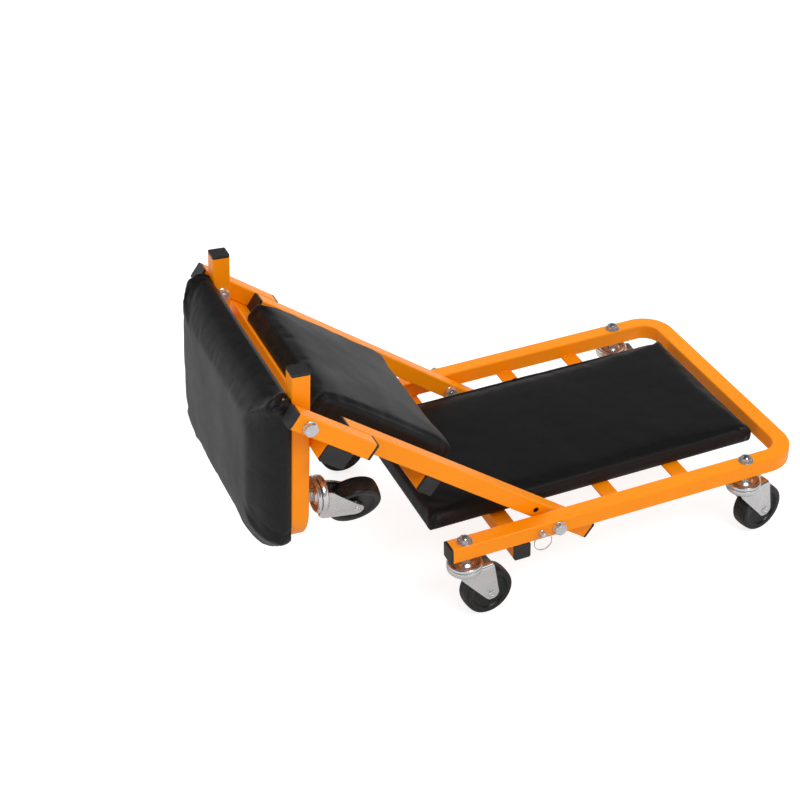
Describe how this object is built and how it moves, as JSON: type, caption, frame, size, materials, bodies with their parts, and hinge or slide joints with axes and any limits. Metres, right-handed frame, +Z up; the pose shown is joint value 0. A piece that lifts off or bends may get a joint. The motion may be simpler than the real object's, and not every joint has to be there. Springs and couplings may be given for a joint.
{
  "type": "folding creeper stool",
  "caption": "Folding mechanic's creeper that turns into a stool: square-tube base on swivel casters, hinged middle frame and headrest frame, black padded cushions.",
  "frame": {"origin": "on the floor under the middle of the object's bounding box in the stored, part-folded pose; the fold hinge's axis runs along Y, 121 mm over the floor", "axes": "+X along the rails towards the closed end of the base, +Y across the width, +Z up"},
  "size_m": [0.8246, 0.454, 0.452],
  "materials": {
    "orange_paint": "gloss",
    "black_vinyl": "satin",
    "black_plastic": "satin",
    "zinc": "polished",
    "plywood": "matte",
    "wheel_black": "satin",
    "spring_steel": "satin"
  },
  "bodies": {
    "base": {"base_frame": "orange_paint", "base_end_caps": "black_plastic", "base_cross_tube": "orange_paint", "base_cross_caps": "black_plastic", "base_straps": "orange_paint", "base_board": "plywood", "base_cushion": "black_vinyl", "base_screws": "zinc", "fold_bolts": "zinc", "fold_nuts": "zinc", "fold_washers": "zinc", "base_caster_stems": "zinc", "base_caster_nuts": "zinc", "lock_spring_near": "spring_steel", "lock_spring_far": "spring_steel"},
    "lock_near": {"lock_pin_near": "zinc"},
    "lock_far": {"lock_pin_far": "zinc"},
    "ring_near": {"pull_ring_near": "zinc"},
    "ring_far": {"pull_ring_far": "zinc"},
    "middle": {"middle_rail_near": "orange_paint", "middle_rail_far": "orange_paint", "middle_rail_caps": "black_plastic", "side_arms": "orange_paint", "side_arm_caps": "black_plastic", "stop_tube": "orange_paint", "stop_tube_caps": "black_plastic", "middle_cross_tube": "orange_paint", "middle_cross_caps": "black_plastic", "middle_board": "plywood", "middle_cushion": "black_vinyl", "middle_screws": "zinc", "head_bolts": "zinc", "head_nuts": "zinc", "head_washers": "zinc"},
    "headrest": {"head_frame": "orange_paint", "head_frame_caps": "black_plastic", "head_board": "plywood", "head_cushion": "black_vinyl", "head_screws": "zinc", "head_caster_stems": "zinc", "head_caster_nuts": "zinc"},
    "caster_open_near": {"fork_open_near": "zinc", "axle_open_near": "zinc"},
    "roller_open_near": {"wheel_open_near": "wheel_black"},
    "caster_open_far": {"fork_open_far": "zinc", "axle_open_far": "zinc"},
    "roller_open_far": {"wheel_open_far": "wheel_black"},
    "caster_closed_near": {"fork_closed_near": "zinc", "axle_closed_near": "zinc"},
    "roller_closed_near": {"wheel_closed_near": "wheel_black"},
    "caster_closed_far": {"fork_closed_far": "zinc", "axle_closed_far": "zinc"},
    "roller_closed_far": {"wheel_closed_far": "wheel_black"},
    "caster_head_near": {"fork_head_near": "zinc", "axle_head_near": "zinc"},
    "roller_head_near": {"wheel_head_near": "wheel_black"},
    "caster_head_far": {"fork_head_far": "zinc", "axle_head_far": "zinc"},
    "roller_head_far": {"wheel_head_far": "wheel_black"}
  },
  "joints": [
    {"name": "middle_fold", "type": "hinge", "parent": "base", "child": "middle", "pos_m": [0.0123, 0, 0.121], "axis": [0, 1, 0], "range_deg": [-37.4, 89.8]},
    {"name": "head_fold", "type": "hinge", "parent": "middle", "child": "headrest", "pos_m": [-0.33995, 0, 0.39129], "axis": [0, 1, 0], "range_deg": [0, 123.4]},
    {"name": "swivel_open_near", "type": "hinge", "parent": "base", "child": "caster_open_near", "pos_m": [-0.1267, -0.2015, 0.088], "axis": [0, 0, 1], "continuous": true},
    {"name": "roll_open_near", "type": "hinge", "parent": "caster_open_near", "child": "roller_open_near", "pos_m": [-0.09319, -0.19798, 0.0375], "axis": [-0.1045, 0.9945, 0], "continuous": true},
    {"name": "swivel_open_far", "type": "hinge", "parent": "base", "child": "caster_open_far", "pos_m": [-0.1267, 0.2015, 0.088], "axis": [0, 0, 1], "continuous": true},
    {"name": "roll_open_far", "type": "hinge", "parent": "caster_open_far", "child": "roller_open_far", "pos_m": [-0.1604, 0.2015, 0.0375], "axis": [0, -1, 0], "continuous": true},
    {"name": "swivel_closed_near", "type": "hinge", "parent": "base", "child": "caster_closed_near", "pos_m": [0.3223, -0.2015, 0.088], "axis": [0, 0, 1], "continuous": true},
    {"name": "roll_closed_near", "type": "hinge", "parent": "caster_closed_near", "child": "roller_closed_near", "pos_m": [0.35526, -0.19449, 0.0375], "axis": [-0.2079, 0.9781, 0], "continuous": true},
    {"name": "swivel_closed_far", "type": "hinge", "parent": "base", "child": "caster_closed_far", "pos_m": [0.3223, 0.2015, 0.088], "axis": [0, 0, 1], "continuous": true},
    {"name": "roll_closed_far", "type": "hinge", "parent": "caster_closed_far", "child": "roller_closed_far", "pos_m": [0.35592, 0.19915, 0.0375], "axis": [0.0698, 0.9976, 0], "continuous": true},
    {"name": "swivel_head_near", "type": "hinge", "parent": "headrest", "child": "caster_head_near", "pos_m": [-0.3166, -0.1645, 0.25133], "axis": [-0.9976, 0, 0.0693], "range_deg": [-97, 143]},
    {"name": "roll_head_near", "type": "hinge", "parent": "caster_head_near", "child": "roller_head_near", "pos_m": [-0.26837, -0.15133, 0.21689], "axis": [-0.0271, -0.9205, -0.3898], "continuous": true},
    {"name": "swivel_head_far", "type": "hinge", "parent": "headrest", "child": "caster_head_far", "pos_m": [-0.3166, 0.1645, 0.25133], "axis": [-0.9976, 0, 0.0693], "range_deg": [-120, 120]},
    {"name": "roll_head_far", "type": "hinge", "parent": "caster_head_far", "child": "roller_head_far", "pos_m": [-0.26856, 0.1645, 0.21421], "axis": [0, -1, 0], "continuous": true},
    {"name": "lock_near", "type": "slide", "parent": "base", "child": "lock_near", "axis": [0, -1, 0], "range_m": [0, 0.009], "stiffness_N_per_m": 300, "springref_m": -0.004, "deforming": ["lock_spring_near"]},
    {"name": "ring_near", "type": "hinge", "parent": "lock_near", "child": "ring_near", "pos_m": [-0.0147, -0.219, 0.121], "axis": [-1, 0, 0], "range_deg": [-20, 150]},
    {"name": "lock_far", "type": "slide", "parent": "base", "child": "lock_far", "axis": [0, 1, 0], "range_m": [0, 0.009], "stiffness_N_per_m": 300, "springref_m": -0.004, "deforming": ["lock_spring_far"]},
    {"name": "ring_far", "type": "hinge", "parent": "lock_far", "child": "ring_far", "pos_m": [-0.0147, 0.219, 0.121], "axis": [1, 0, 0], "range_deg": [-20, 150]}
  ]
}
